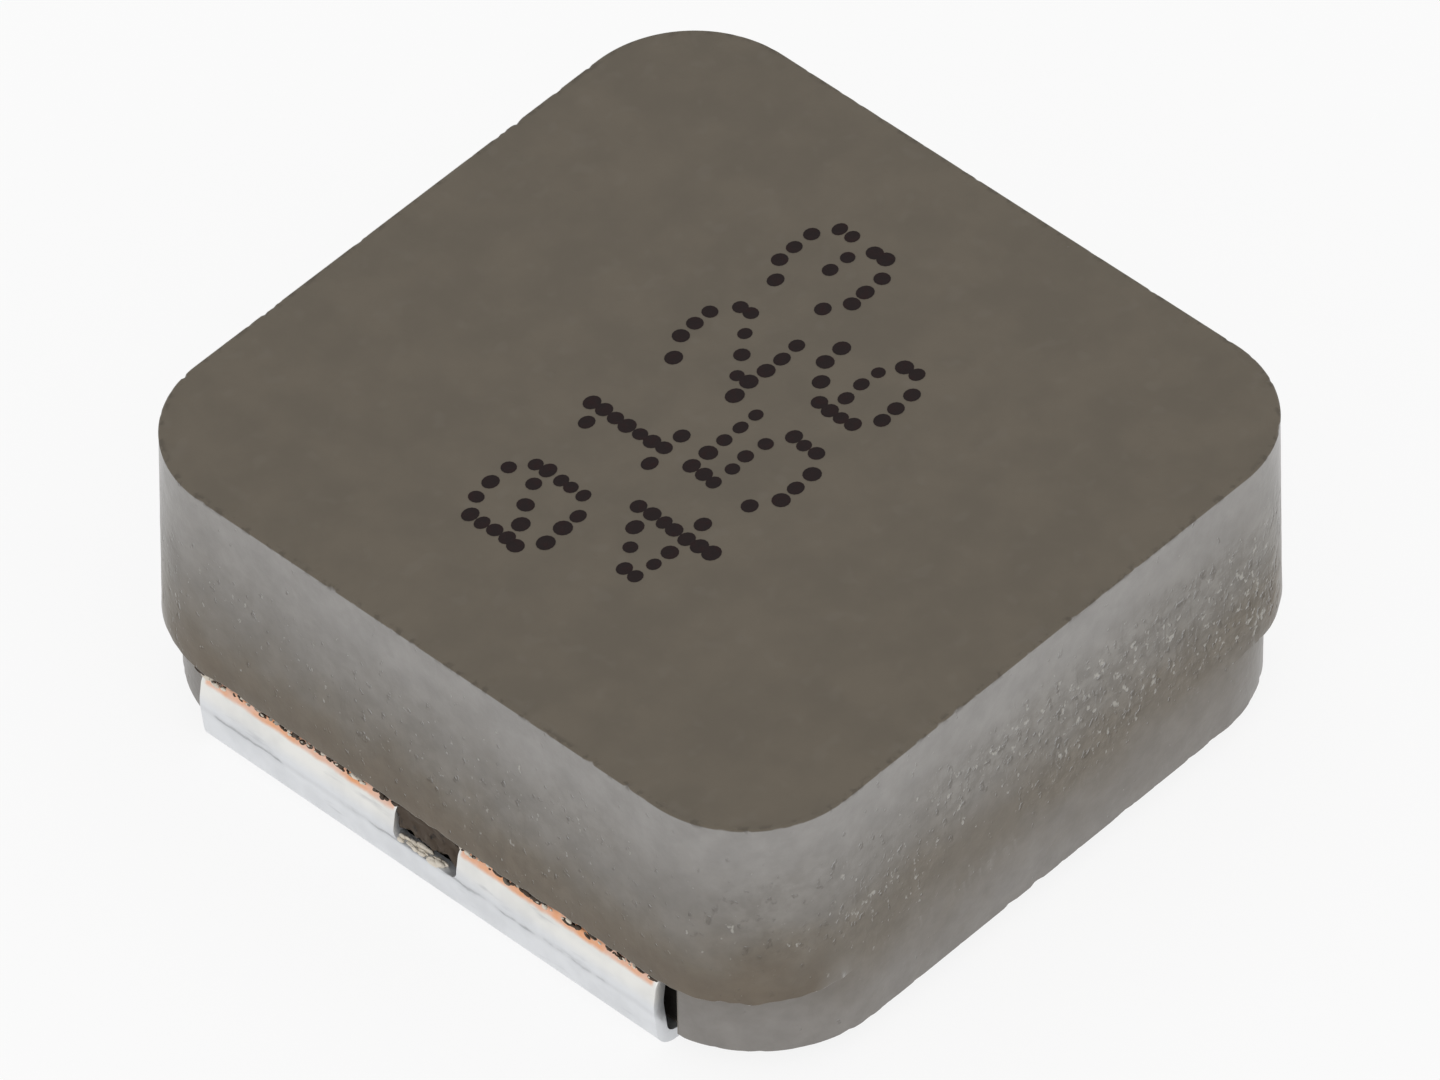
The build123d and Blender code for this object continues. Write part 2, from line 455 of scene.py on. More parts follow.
def tin_material(strips):
    """Satin tin over copper, rubbed and creased, with bare copper where the fold was stretched."""
    material, tree, shader = new_material("tinned_strip")
    place = millimetres(tree)
    parts = axes(tree, place)
    height = parts["Z"]
    # The start strip is the finish strip turned round, so y is counted along the finish strip.
    along = times(tree, parts["Y"], calc(tree, "SIGN", parts["X"]))
    across = calc(tree, "ABSOLUTE", minus(tree, along, STRIP_MIDDLE / MM))

    clouds = grain(tree, place, 1.1, seed=5.0)
    rubs = grain(tree, stretch(tree, place, (1.0, 0.5, 2.4)), 1.5, detail=4.0, seed=15.0)
    rubs = ease(tree, rubs, 0.58, 0.78)
    crease = (strips.bulge_height - strips.crease_drop) / MM
    # Painted highlight on the upward-facing tin above the crease.
    lit_crest = ease(tree, height, crease + 0.1, crease + 0.5)
    tin = blend(tree, lit_crest, strips.tin_colour, strips.crest_highlight_colour)
    tin = blend(tree, times(tree, rubs, 0.45), tin, strips.smear_colour)
    tin = blend(tree, times(tree, ease(tree, clouds, 0.35, 0.7), 0.2), tin, strips.smear_colour)

    wander = times(tree, minus(tree, grain(tree, place, 2.2, detail=4.0, seed=25.0), 0.5), 0.22)
    level = plus(tree, height, wander)
    crease_distance = calc(tree, "ABSOLUTE", minus(tree, level, crease))
    creased = times(tree, ease(tree, crease_distance, 0.06, 0.0), ease(tree, clouds, 0.42, 0.6))
    # Broken scratches along the crease, with a soft band of painted shade along the crease itself.
    scratches_and_crease_shade = plus(tree, times(tree, ease(tree, crease_distance, 0.16, 0.0), 0.14), times(tree, creased, 0.5))
    tin = blend(tree, scratches_and_crease_shade, tin, strips.scratch_and_shade_colour)

    top = STRIP_HIGH.z / MM
    half_width = HALF_STRIP / MM
    half_notch = strips.notch_width / 2 / MM
    torn = plus(tree, height, times(tree, wander, 0.5))
    bare = ease(tree, torn, top - 0.28, top - 0.18)
    bare = times(tree, bare, ease(tree, across, half_width - 0.05, half_width - 0.15))
    bare = times(tree, bare, ease(tree, across, half_notch + 0.02, half_notch + 0.09))
    warm = ease(tree, grain(tree, place, 1.7, seed=35.0), 0.3, 0.7)
    copper = blend(tree, times(tree, warm, 0.4), strips.copper_colour, strips.tin_colour)
    plate = blend(tree, bare, tin, copper)

    satin = plus(tree, times(tree, clouds, 0.16), 0.3)
    satin = plus(tree, satin, times(tree, rubs, 0.12))
    ripple = grain(tree, place, 2.4, detail=2.0, seed=45.0)
    normal = bump(tree, minus(tree, ripple, times(tree, creased, 0.5)), TIN_RELIEF)
    fill(tree, shader, {"Base Color": plate, "Roughness": satin, "Normal": normal, "Metallic": 0.65})
    return material


def crumb_material(crumbs):
    """Loose powder beside the strips, each crumb with its own tone."""
    material, tree, shader = new_material("powder_crumb")
    place = millimetres(tree)
    powder = pressed_powder(tree, place, 0.9)
    tone = painted(tree, "tone")
    base = blend(tree, ease(tree, tone, 0.5, 0.75), crumbs.dark_colour, crumbs.pale_colour)
    pitted = times(tree, powder["Pits"], ease(tree, tone, 0.95, 0.6))
    base = blend(tree, pitted, base, (0.2, 0.2, 0.2, 1.0), "MULTIPLY")
    matt = ease(tree, tone, 0.4, 1.0, 0.8, 0.45)
    normal = bump(tree, powder["Height"], CRUMB_RELIEF)
    fill(tree, shader, {"Base Color": base, "Roughness": matt, "Normal": normal})
    return material


def ink_material(ink):
    """Dried ink, slightly thinner in places."""
    material, tree, shader = new_material("ink_dot")
    place = millimetres(tree)
    thin = ease(tree, grain(tree, place, 5.0, seed=7.0), 0.4, 0.8)
    lighter = tuple(min(1.0, value * 2.0 + 0.002) for value in ink.ink_colour)
    tone = blend(tree, thin, ink.ink_colour, lighter)
    matt = ease(tree, thin, 0.0, 1.0, 0.7, 0.85)
    normal = bump(tree, thin, INK_RELIEF)
    fill(tree, shader, {"Base Color": tone, "Roughness": matt, "Normal": normal, "Specular IOR Level": 0.2})
    return material


def enamel_material():
    """Copper wire under clear enamel, with drawing lines along it."""
    material, tree, shader = new_material("enamelled_copper")
    place = millimetres(tree)
    lines = grain(tree, stretch(tree, place, (1.0, 1.0, 9.0)), 1.4)
    tint = ease(tree, lines, 0.3, 0.7)
    shades = blend(tree, tint, paint(168, 92, 50), paint(196, 118, 70))
    gloss = ease(tree, tint, 0.0, 1.0, 0.28, 0.4)
    fill(tree, shader, {"Base Color": shades, "Roughness": gloss, "Metallic": 1.0, "Coat Weight": 0.6})
    return material


# Meshes

def add_object(name, data):
    """New object in the scene."""
    made = bpy.data.objects.new(name, data)
    bpy.context.scene.collection.objects.link(made)
    return made


def mesh_object(name, bm):
    """New object with the mesh of a finished bmesh."""
    mesh = bpy.data.meshes.new(name)
    bm.to_mesh(mesh)
    bm.free()
    return add_object(name, mesh)


def new_piece(name, bm, material, crease):
    """Object that rides on the part, smooth up to the crease angle."""
    piece = mesh_object(name, bm)
    piece.data.materials.append(material)
    piece.data.shade_smooth()
    piece.data.set_sharp_from_angle(angle=crease)
    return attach(piece, "root")


def soften(bm, geom, offset, segments, affect="EDGES"):
    """Rounds off edges or corners."""
    bmesh.ops.bevel(bm, geom=geom, offset=offset, offset_type="OFFSET", segments=segments, profile=0.5,
                    affect=affect, material=-1)


def only(items, kind):
    """The items of one mesh kind."""
    return [item for item in items if isinstance(item, kind)]


class Outline(NamedTuple):
    """Rounded rectangle at a height."""
    height: float
    half_x: float
    half_y: float
    radius: float

    def between(self, other, share):
        """Outline part of the way to another one."""
        return Outline(*(a + (b - a) * share for a, b in zip(self, other)))

    def inset(self, amount, height):
        """Smaller outline with the same corner centres, at another height."""
        return Outline(height, self.half_x - amount, self.half_y - amount, self.radius - amount)


def refit(vert, old, new):
    """Moves a point of one outline to the same place on another."""
    grow = new.radius / old.radius

    def along(value, old_half, new_half):
        """One coordinate: corners grow about their centres, and straight sides are stretched."""
        old_centre, new_centre = old_half - old.radius, new_half - new.radius
        size = abs(value)
        if size > old_centre:
            return copysign(new_centre + (size - old_centre) * grow, value)
        return value * new_centre / old_centre

    x = along(vert.co.x, old.half_x, new.half_x)
    y = along(vert.co.y, old.half_y, new.half_y)
    vert.co = (x, y, new.height)


def lift(bm, ring, old, new):
    """Extrudes a ring of edges from one outline to the next and gives the new ring."""
    grown = bmesh.ops.extrude_edge_only(bm, edges=ring)["geom"]
    verts = set(only(grown, bmesh.types.BMVert))
    for vert in verts:
        refit(vert, old, new)
    return [edge for edge in only(grown, bmesh.types.BMEdge) if verts.issuperset(edge.verts)]


CORNER_STEPS = 44
SHOULDER_STEPS = 3
POCKET_STEPS = 6
SIDE_CUTS = 130
FOOT_ROWS = 4
WALL_ROWS = 22
ROW_CROWDING = 1.6
RIM_STEPS = [step * MM for step in (0.03, 0.04, 0.06, 0.1, 0.2)]
RIM_REACH = 0.24 * MM
CHIP_REACH = 0.16 * MM
GRIT_DEPTH = 0.012 * MM
FOOT_WEAR_SCALE = 2.6  # noise per millimetre
RIM_WAVE_SCALE = 1.3
BODY_CREASE = radians(35)
LEVEL_NORMAL = 0.9999  # faces that are more level than this are shaded flat


def lower_outline(body):
    """Outline of the lower half where it meets the shoulder."""
    return Outline(body.shoulder_height, BODY_HIGH.x - body.terminal_step, BODY_HIGH.y - body.seam,
                   body.lower_radius)


def body_outlines(body):
    """Outlines from the underside to the top face, and the place of the shoulder's rim among them."""
    top = BODY_HIGH.z - body.print_depth
    flare = (BODY_HIGH.z - body.shoulder_height) * tan(body.draft)
    shoulder = Outline(body.shoulder_height, BODY_HIGH.x, BODY_HIGH.y, body.top_radius + flare)
    brow = Outline(top - body.top_edge, BODY_HIGH.x - flare, BODY_HIGH.y - flare, body.top_radius)
    lower = lower_outline(body)
    foot = lower._replace(height=BODY_LOW.z + body.underside_edge)
    outlines = [lower.inset(body.underside_edge, BODY_LOW.z), foot]
    outlines += [foot.between(lower, (row + 1) / FOOT_ROWS) for row in range(FOOT_ROWS)]
    outlines.append(shoulder)
    rim_at = len(outlines) - 1
    # Rows crowd together towards the top edge, where the chips are.
    shares = [1 - (1 - (row + 1) / WALL_ROWS) ** ROW_CROWDING for row in range(WALL_ROWS)]
    outlines += [shoulder.between(brow, share) for share in shares]
    outlines.append(brow.inset(body.top_edge, top))
    return outlines, rim_at


def inward(vert):
    """Level direction from a point towards the body's axis."""
    return Vector((-vert.co.x, -vert.co.y, 0)).normalized()


def ragged(place, scale):
    """Noise from about -1 to 1, with finer noise on it."""
    return noise.noise(place * scale) + 0.5 * noise.noise(place * scale * 3.1)


def chip(vert, body, top):
    """Nibbles the edge of the top face and roughens the sides a little, always inwards."""
    place = vert.co / MM
    axis = inward(vert)
    near = max(0.0, 1 - (top - vert.co.z) / CHIP_REACH)
    bite = max(0.0, noise.noise(place * 4.3) + 0.35 * noise.noise(place * 11.0) - 0.3)
    depth = min(1.0, bite * 2.2) * near * body.chip_depth
    vert.co += axis * depth * 0.7
    vert.co.z -= depth * 0.6
    grit = 0.5 + 0.5 * noise.noise(place * 2.3)
    vert.co += axis * grit * GRIT_DEPTH * (1 - near)


def start_ring(bm, base):
    """Underside with round corners, and the ring of edges round it."""
    bmesh.ops.create_grid(bm, x_segments=1, y_segments=1, size=1.0)
    bmesh.ops.scale(bm, vec=(base.half_x, base.half_y, 1.0), verts=bm.verts[:])
    bmesh.ops.translate(bm, vec=(0, 0, base.height), verts=bm.verts[:])
    soften(bm, bm.verts[:], base.radius, CORNER_STEPS, "VERTICES")
    straight = [edge for edge in bm.edges if edge.calc_length() > base.radius]
    bmesh.ops.subdivide_edges(bm, edges=straight, cuts=SIDE_CUTS)
    return bm.edges[:]


def ring_verts(rings):
    """Points of some rings of edges."""
    return {vert for ring in rings for edge in ring for vert in edge.verts}


def inset_top(bm, top, rim):
    """Insets the top face in a few steps, along which the mark of its rim fades."""
    reached = 0.0
    for step in RIM_STEPS:
        bmesh.ops.inset_region(bm, faces=[top], thickness=step, use_even_offset=True)
        reached += step
        for vert in top.verts:
            vert[rim] = max(0.0, 1 - reached / RIM_REACH)


def make_body_mesh(body):
    """Closed block raised ring by ring from the underside, with a chipped top edge."""
    outlines, rim_at = body_outlines(body)
    top_height = outlines[-1].height
    bm = bmesh.new()
    rim, lower = (bm.verts.layers.float.new(name) for name in ("rim", "lower"))
    rings = [start_ring(bm, outlines[0])]
    for old, new in zip(outlines, outlines[1:]):
        rings.append(lift(bm, rings[-1], old, new))
    top = bmesh.ops.contextual_create(bm, geom=rings[-1])["faces"][0]
    bmesh.ops.recalc_face_normals(bm, faces=bm.faces[:])
    for vert in bm.verts:
        vert[rim] = max(0.0, 1 - (top_height - vert.co.z) / RIM_REACH)
    for vert in ring_verts(rings[:rim_at]):
        vert[lower] = 1.0
    inset_top(bm, top, rim)
    for vert in ring_verts(rings[1:2]):
        vert.co += inward(vert) * max(0.0, ragged(vert.co / MM, FOOT_WEAR_SCALE)) * body.foot_wear
    # On the plain sides the two halves are flush, so only the overhanging rim is rounded.
    flush = BODY_HIGH.y - body.shoulder_edge / 2
    overhang = [edge for edge in rings[rim_at] if all(abs(vert.co.y) < flush for vert in edge.verts)]
    soften(bm, overhang, body.shoulder_edge, SHOULDER_STEPS)
    level = set(top.verts)
    for vert in bm.verts:
        above = vert.co.z - body.shoulder_height
        if abs(above) < 2 * body.shoulder_edge:
            vert.co.z += ragged(vert.co.to_2d().to_3d() / MM, RIM_WAVE_SCALE) * body.rim_wave
        elif above > 0 and vert not in level:
            chip(vert, body, top_height)
    return bm


def pocket_cutter(body, strips):
    """Two T-shaped blocks whose inner corners round off the pockets' upright edges."""
    lower = lower_outline(body)
    half = HALF_STRIP + body.pocket_side
    wall = pocket_wall(body, strips)
    # The lower half's corner has already begun to turn where the pocket ends.
    turn = half - (lower.half_y - lower.radius)
    mouth = lower.half_x - lower.radius + (lower.radius ** 2 - turn ** 2) ** 0.5
    outer = BODY_HIGH.x + MM
    wide = half + 2 * body.pocket_edge
    profile = [(wall, half), (mouth, half), (mouth, wide), (outer, wide)]
    profile += [(x, -y) for x, y in reversed(profile)]
    bm = bmesh.new()
    for side in (-1, 1):
        verts = [bm.verts.new((side * x, side * y, 0)) for x, y in profile]
        floor = bm.faces.new(verts)
        grown = bmesh.ops.extrude_face_region(bm, geom=[floor])["geom"]
        bmesh.ops.translate(bm, vec=(0, 0, STRIP_HIGH.z), verts=only(grown, bmesh.types.BMVert))
        inner = [edge for vert in (verts[1], verts[-2]) for edge in vert.link_edges
                 if abs(edge.verts[0].co.z - edge.verts[1].co.z) > MM]
        soften(bm, inner, body.pocket_edge, POCKET_STEPS)
    bmesh.ops.recalc_face_normals(bm, faces=bm.faces[:])
    return bm


def cut_pockets(piece, body, strips):
    """Takes the two pockets behind the strips out of the block."""
    cutter = mesh_object("pocket_cutter", pocket_cutter(body, strips))
    cut = piece.modifiers.new("pockets", "BOOLEAN")
    cut.operation = "DIFFERENCE"
    cut.solver = "EXACT"
    cut.object = cutter
    graph = bpy.context.evaluated_depsgraph_get()
    carved = bpy.data.meshes.new_from_object(piece.evaluated_get(graph), preserve_all_data_layers=True,
                                             depsgraph=graph)
    piece.modifiers.remove(cut)
    piece.data = carved
    carved.shade_smooth()
    carved.set_sharp_from_angle(angle=BODY_CREASE)
    for face in carved.polygons:
        face.use_smooth = abs(face.normal.z) < LEVEL_NORMAL
    bpy.data.objects.remove(cutter)


def strip_outer(strips):
    """Widest point of the finish strip."""
    return STRIP_LOW.x + strips.pad_length


def pocket_wall(body, strips):
    """Back wall of the pocket behind the finish strip."""
    return strip_outer(strips) - strips.thickness - body.pocket_gap


def strip_path(body, strips):
    """Corners of a strip's centre line in the XZ plane, with the fold radius at each inner one."""
    half = strips.thickness / 2
    middle = strip_outer(strips) - half
    root = STRIP_HIGH.z - half
    tab_end = pocket_wall(body, strips) - strips.tab_depth
    corners = [(tab_end, root), (middle - strips.fold_lean, root), (middle, strips.bulge_height),
               (middle - strips.curl_lean, half), (STRIP_LOW.x, half)]
    radii = [strips.fold_radius, strips.bulge_radius, strips.curl_radius]
    return [Vector((x, 0, z)) for x, z in corners], radii


def fold_corner(body, strips):
    """Corner of the centre line where a strip folds down."""
    corners, _ = strip_path(body, strips)
    return corners[1]


FOLD_STEPS = 8
STRIP_CUTS = 59


def make_strip_mesh(body, strips):
    """Sheet at the +X end: a bent line drawn out along Y, folds rounded, notch taken out."""
    corners, radii = strip_path(body, strips)
    low, high = STRIP_LOW.y, STRIP_HIGH.y
    bm = bmesh.new()
    verts = [bm.verts.new(corner + Vector((0, low, 0))) for corner in corners]
    line = [bm.edges.new(pair) for pair in zip(verts, verts[1:])]
    drawn = bmesh.ops.extrude_edge_only(bm, edges=line)["geom"]
    bmesh.ops.translate(bm, vec=(0, high - low, 0), verts=only(drawn, bmesh.types.BMVert))
    folds = [next(edge for edge in vert.link_edges if edge not in line) for vert in verts[1:-1]]
    turns = [(b - a).angle(c - b) for a, b, c in zip(corners, corners[1:], corners[2:])]
    for fold, turn, radius in zip(folds, turns, radii):
        soften(bm, [fold], radius * tan(turn / 2), FOLD_STEPS)
    long_edges = [edge for edge in bm.edges if abs(edge.verts[0].co.y - edge.verts[1].co.y) > MM]
    bmesh.ops.subdivide_edges(bm, edges=long_edges, cuts=STRIP_CUTS, use_grid_fill=True)
    cut_notch(bm, strips, corners[1].x - strips.thickness)
    bmesh.ops.recalc_face_normals(bm, faces=bm.faces[:])
    return bm


NOTCH_FACETS = 4
CUT_REACH = 1e-7  # points this near a cut count as on it


def cut_notch(bm, strips, inner):
    """Opens the slot across the fold, its lower corners rounded by a few straight cuts."""
    half, radius = strips.notch_width / 2, strips.notch_radius
    bottom = STRIP_HIGH.z - strips.notch_depth
    cuts = [(Vector((inner, 0, 0)), Vector((-1, 0, 0)))]
    for hand in (-1, 1):
        centre = Vector((0, STRIP_MIDDLE + hand * (half - radius), bottom + radius))
        for facet in range(NOTCH_FACETS + 1):
            bend = pi / 2 * facet / NOTCH_FACETS
            outward = Vector((0, hand * cos(bend), -sin(bend)))
            cuts.append((centre + outward * radius, outward))
    for place, outward in cuts:
        near = [face for face in bm.faces
                if abs(face.calc_center_median().y - STRIP_MIDDLE) < half + radius]
        edges = {edge for face in near for edge in face.edges}
        verts = {vert for face in near for vert in face.verts}
        bmesh.ops.bisect_plane(bm, geom=[*verts, *edges, *near], plane_co=place, plane_no=outward,
                               dist=CUT_REACH)
    opened = [face for face in bm.faces
              if all((face.calc_center_median() - place).dot(outward) < 0 for place, outward in cuts)]
    bmesh.ops.delete(bm, geom=opened, context="FACES")


PLUG_CUTS = 20
PLUG_THICKNESS = 0.4 * MM
PLUG_SETBACK = 0.1 * MM  # its middle behind the fold
PLUG_PLAY = 0.06 * MM    # narrower than the notch
PLUG_DROP = 0.02 * MM    # its top below the shoulder
PLUG_RISE = 0.3 * MM     # its lower edge above the bottom of the notch
PLUG_TEAR = 0.16 * MM    # unevenness of the lower edge
PLUG_LUMP = 0.08 * MM    # unevenness all over
FOLD_CLEAR = 0.05 * MM   # lowest crumbs in front of the fold
FOLD_SPREAD = 0.19 * MM  # further out for the highest ones
FOLD_SCATTER = 0.07 * MM
BIT_SINK = (0.05 * MM, 0.2 * MM)    # behind the strip's widest point
BIT_MARGIN = (0.1 * MM, 0.3 * MM)   # from the two sides of the notch
BIT_RISE = (-0.02 * MM, 0.04 * MM)  # above the bottom of the notch
BIT_RADIUS = (0.03 * MM, 0.1 * MM)
CRUMB_SEED = 17


def add_plug(bm, tone, side, body, strips):
    """Powder that was pressed into a notch, with a ragged lower edge."""
    fold = fold_corner(body, strips)
    low = STRIP_HIGH.z - strips.notch_depth + PLUG_RISE
    high = body.shoulder_height - PLUG_DROP
    middle = Vector((side * (fold.x - PLUG_SETBACK), side * STRIP_MIDDLE, (low + high) / 2))
    size = Matrix.Diagonal((PLUG_THICKNESS, strips.notch_width - PLUG_PLAY, high - low, 1.0))
    made = bmesh.ops.create_cube(bm, size=1.0, matrix=Matrix.Translation(middle) @ size)["verts"]
    edges = list({edge for vert in made for edge in vert.link_edges})
    bmesh.ops.subdivide_edges(bm, edges=edges, cuts=PLUG_CUTS, use_grid_fill=True)
    for vert in [vert for vert in bm.verts if vert.co.x * side > 0]:
        place = vert.co / MM
        depth = (high - vert.co.z) / (high - low)
        torn = noise.noise(Vector((7.7 * side, place.y * 2.9, 0))) + 0.5 * noise.noise(place * 8.0)
        vert.co.z += depth * torn * PLUG_TEAR
        jolt = noise.noise_vector(place * 4.0) + 0.8 * noise.noise_vector(place * 9.0)
        vert.co += jolt * (0.2 + 0.8 * depth) * PLUG_LUMP
        vert[tone] = 0.42 + 0.22 * noise.noise(place * 5.0)


def add_crumb(bm, tone, spot, size, tilt, shade):
    """One flattened crumb of its own tone."""
    place = Matrix.Translation(spot) @ Matrix.Rotation(tilt, 4, "X") @ Matrix.Diagonal((*size, 1.0))
    for vert in bmesh.ops.create_icosphere(bm, subdivisions=2, radius=1.0, matrix=place)["verts"]:
        vert.co += noise.noise_vector(vert.co / MM * 11.0) * 0.35 * min(size)
        vert[tone] = shade


def add_fold_crumbs(bm, tone, side, chance, crumbs, body, strips):
    """Crumbs between a fold and the shoulder above it, with none over the notch."""
    fold = fold_corner(body, strips)
    gap = body.shoulder_height - STRIP_HIGH.z
    for _ in range(crumbs.fold_count):
        y = chance.uniform(STRIP_LOW.y, STRIP_HIGH.y)
        if abs(y - STRIP_MIDDLE) < strips.notch_width / 2:
            continue
        radius = crumbs.smallest + (crumbs.largest - crumbs.smallest) * chance.random() ** 3
        rise = chance.uniform(0.0, 0.8)
        reach = FOLD_CLEAR + FOLD_SPREAD * rise + chance.uniform(0.0, FOLD_SCATTER)
        x = min(fold.x + reach, BODY_HIGH.x - 0.9 * radius)
        spot = Vector((side * x, side * y, STRIP_HIGH.z + gap * (1.45 * rise - 0.55)))
        size = (radius * 0.6, radius * chance.uniform(0.8, 2.0), radius * 0.7)
        add_crumb(bm, tone, spot, size, chance.uniform(-0.6, 0.6), chance.random())


def add_notch_bits(bm, tone, side, chance, crumbs, strips):
    """Bits of tin along the bottom of a notch."""
    half = strips.notch_width / 2
    bottom = STRIP_HIGH.z - strips.notch_depth
    for _ in range(crumbs.notch_count):
        x = strip_outer(strips) - chance.uniform(*BIT_SINK)
        y = STRIP_MIDDLE + chance.uniform(BIT_MARGIN[0] - half, half - BIT_MARGIN[1])
        spot = Vector((side * x, side * y, bottom + chance.uniform(*BIT_RISE)))
        radius = chance.uniform(*BIT_RADIUS)
        size = (radius * 0.6, radius * chance.uniform(1.0, 2.6), radius * 0.8)
        add_crumb(bm, tone, spot, size, 0.0, 1.0)


def make_crumb_mesh(crumbs, body, strips):
    """A plug of powder in each notch, crumbs along the folds and bits of tin in the notches."""
    chance = Random(CRUMB_SEED)
    # Without a seed of its own, noise_vector differs from run to run.
    noise.seed_set(CRUMB_SEED)
    bm = bmesh.new()
    tone = bm.verts.layers.float.new("tone")
    for side in (-1, 1):
        add_plug(bm, tone, side, body, strips)
    for side in (-1, 1):
        add_fold_crumbs(bm, tone, side, chance, crumbs, body, strips)
        add_notch_bits(bm, tone, side, chance, crumbs, strips)
    return bm


DIGITS = {
    "0": ".###. #...# #..## #.#.# ##..# #...# .###.",
    "1": "..#.. .##.. ..#.. ..#.. ..#.. ..#.. .###.",
    "2": ".###. #...# ....# ...#. ..#.. .#... #####",
    "3": ".###. #...# ....# ..##. ....# #...# .###.",
    "4": "...#. ..##. .#.#. #..#. ##### ...#. ...#.",
    "5": "##### #.... ####. ....# ....# #...# .###.",
    "6": "..##. .#... #.... ####. #...# #...# .###.",
    "7": "##### ....# ...#. ..#.. .#... .#... .#...",
    "8": ".###. #...# #...# .###. #...# #...# .###.",
    "9": ".###. #...# #...# .#### ....# ...#. .##..",
}
FIRST_DIGIT = Vector((-5.04, 0.27, 0)) * MM  # lower left dot of the first row
SECOND_SHIFT = Vector((0.95, 0, 0)) * MM     # the second row starts this far along
PRINT_SEED = 5
DOT_SIDES = 14
DOT_WOBBLE = 0.02 * MM


def make_print_mesh(ink, body):
    """Flat ink dots, each a little off its place and out of round."""
    chance = Random(PRINT_SEED)
    bm = bmesh.new()
    top = BODY_HIGH.z - body.print_depth
    for row, digits in enumerate((ink.first_row, ink.second_row)):
        start = FIRST_DIGIT + SECOND_SHIFT * row - Vector((0, ink.row_pitch * row, 0))
        for place, digit in enumerate(digits):
            for line, dots in enumerate(reversed(DIGITS[digit].split())):
                for column, dot in enumerate(dots):
                    if dot == "#":
                        along = place * ink.digit_pitch + column * ink.run
                        spot = start + Vector((along, line * ink.rise, top))
                        add_dot(bm, spot, ink, body.print_depth, chance)
    return bm


def add_dot(bm, spot, ink, depth, chance):
    """One domed dot, drawn out a little along the row."""
    wobble = Vector((chance.gauss(0, DOT_WOBBLE), chance.gauss(0, DOT_WOBBLE), 0))
    size = ink.dot / 2 * chance.uniform(0.88, 1.08)
    along, across = size * chance.uniform(0.98, 1.14), size * chance.uniform(0.88, 1.04)
    shape = Matrix.Diagonal((along, across, 1.0, 1.0))
    rim = bmesh.ops.create_circle(bm, cap_ends=True, segments=DOT_SIDES, radius=1.0,
                                  matrix=Matrix.Translation(spot + wobble) @ shape)["verts"]
    face = rim[0].link_faces[0]
    bmesh.ops.inset_region(bm, faces=[face], thickness=size * 0.25,
                           depth=depth * chance.uniform(0.6, 0.95))


# Operators

STRIP_CREASE = radians(40)
SPECK_CREASE = radians(60)
TIN_STEPS = 3
TIN_ANGLE = radians(50)
STRIP_PIECES = (("finish_strip", "finish_terminal", 0.0), ("start_strip", "start_terminal", pi))


class INDUCTOR_OT_body(bpy.types.Operator):
    """Make the pressed body with its pockets and chipped edge"""
    bl_idname = "inductor.make_body"
    bl_label = "Pressed Body"

    def execute(self, context):
        part = context.scene.inductor
        bm = make_body_mesh(part.body)
        piece = new_piece("pressed_body", bm, powder_material(part.body), BODY_CREASE)
        cut_pockets(piece, part.body, part.strips)
        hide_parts("moulded_body")
        return {"FINISHED"}


class INDUCTOR_OT_strips(bpy.types.Operator):
    """Make the folded strip terminals with rounded tin edges"""
    bl_idname = "inductor.make_strips"
    bl_label = "Strip Terminals"

    def execute(self, context):
        part = context.scene.inductor
        tin = tin_material(part.strips)
        for name, node, turn in STRIP_PIECES:
            bm = make_strip_mesh(part.body, part.strips)
            bmesh.ops.rotate(bm, cent=(0, 0, 0), matrix=Matrix.Rotation(turn, 3, "Z"), verts=bm.verts[:])
            piece = new_piece(name, bm, tin, STRIP_CREASE)
            wall = piece.modifiers.new("strip thickness", "SOLIDIFY")
            wall.thickness = part.strips.thickness
            wall.offset = 0.0
            rim = piece.modifiers.new("tinned rim", "BEVEL")
            rim.width = part.strips.rim_radius
            rim.segments = TIN_STEPS
            rim.limit_method = "ANGLE"
            rim.angle_limit = TIN_ANGLE
            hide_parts(node)
        return {"FINISHED"}


class INDUCTOR_OT_crumbs(bpy.types.Operator):
    """Scatter powder crumbs along the folds and in the notches"""
    bl_idname = "inductor.make_crumbs"
    bl_label = "Powder Crumbs"

    def execute(self, context):
        part = context.scene.inductor
        bm = make_crumb_mesh(part.crumbs, part.body, part.strips)
        piece = new_piece("powder_crumbs", bm, crumb_material(part.crumbs), SPECK_CREASE)
        return {"FINISHED"}


class INDUCTOR_OT_print(bpy.types.Operator):
    """Print two rows of plain digits in ink dots"""
    bl_idname = "inductor.make_print"
    bl_label = "Ink Dots"

    def execute(self, context):
        part = context.scene.inductor
        bm = make_print_mesh(part.ink, part.body)
        new_piece("ink_dots", bm, ink_material(part.ink), SPECK_CREASE)
        return {"FINISHED"}


class INDUCTOR_OT_coil(bpy.types.Operator):
    """Give the coil inside its enamelled copper"""
    bl_idname = "inductor.dress_coil"
    bl_label = "Coil"

    def execute(self, context):
        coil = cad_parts["coil_winding"]
        coil.data.materials.clear()
        coil.data.materials.append(enamel_material())
        return {"FINISHED"}


def white_for_lens(tree, shaded, share):
    """Shows white to the camera, reflections and glass, with a share of the shaded surface left in."""
    path = put(tree, "ShaderNodeLightPath").outputs
    seen = calc(tree, "MAXIMUM", path["Is Camera Ray"], path["Is Glossy Ray"])
    seen = calc(tree, "MAXIMUM", seen, path["Is Transmission Ray"])
    white = put(tree, "ShaderNodeEmission", {"Color": (1, 1, 1, 1), "Strength": 1.0}).outputs[0]
    weight = times(tree, seen, 1.0 - share)
    return put(tree, "ShaderNodeMixShader", {0: weight, 1: shaded, 2: white}).outputs[0]


